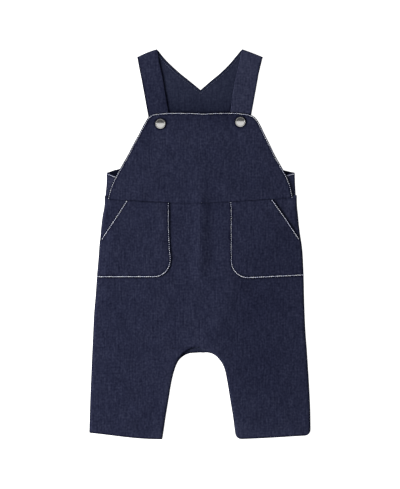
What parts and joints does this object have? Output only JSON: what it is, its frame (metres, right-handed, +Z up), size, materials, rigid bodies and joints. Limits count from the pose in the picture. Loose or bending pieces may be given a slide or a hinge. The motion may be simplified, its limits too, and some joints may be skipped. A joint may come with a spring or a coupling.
{
  "type": "kids dungarees laid flat",
  "caption": "Baby's denim dungarees laid flat with the front up: bib with metal press studs, straps folded over the shoulders, patch pockets and short straight legs.",
  "frame": {"origin": "the middle of the laid-out garment, on the surface that it lies on", "axes": "+X to the right as seen from above, +Y from the hems to the shoulders, +Z up from the surface, through the back and then the front"},
  "size_m": [0.2647, 0.4664, 0.0067],
  "materials": {
    "denim": "dark indigo lightweight denim, woven, matt",
    "stud": "polished nickel plate"
  },
  "bodies": {
    "root": {"back_bodice": "denim", "back_leg_left": "denim", "back_leg_right": "denim", "bib": "denim", "front_leg_left": "denim", "front_leg_right": "denim", "pocket_left": "denim", "pocket_right": "denim", "stud_left": "stud", "stud_right": "stud"}
  },
  "joints": []
}
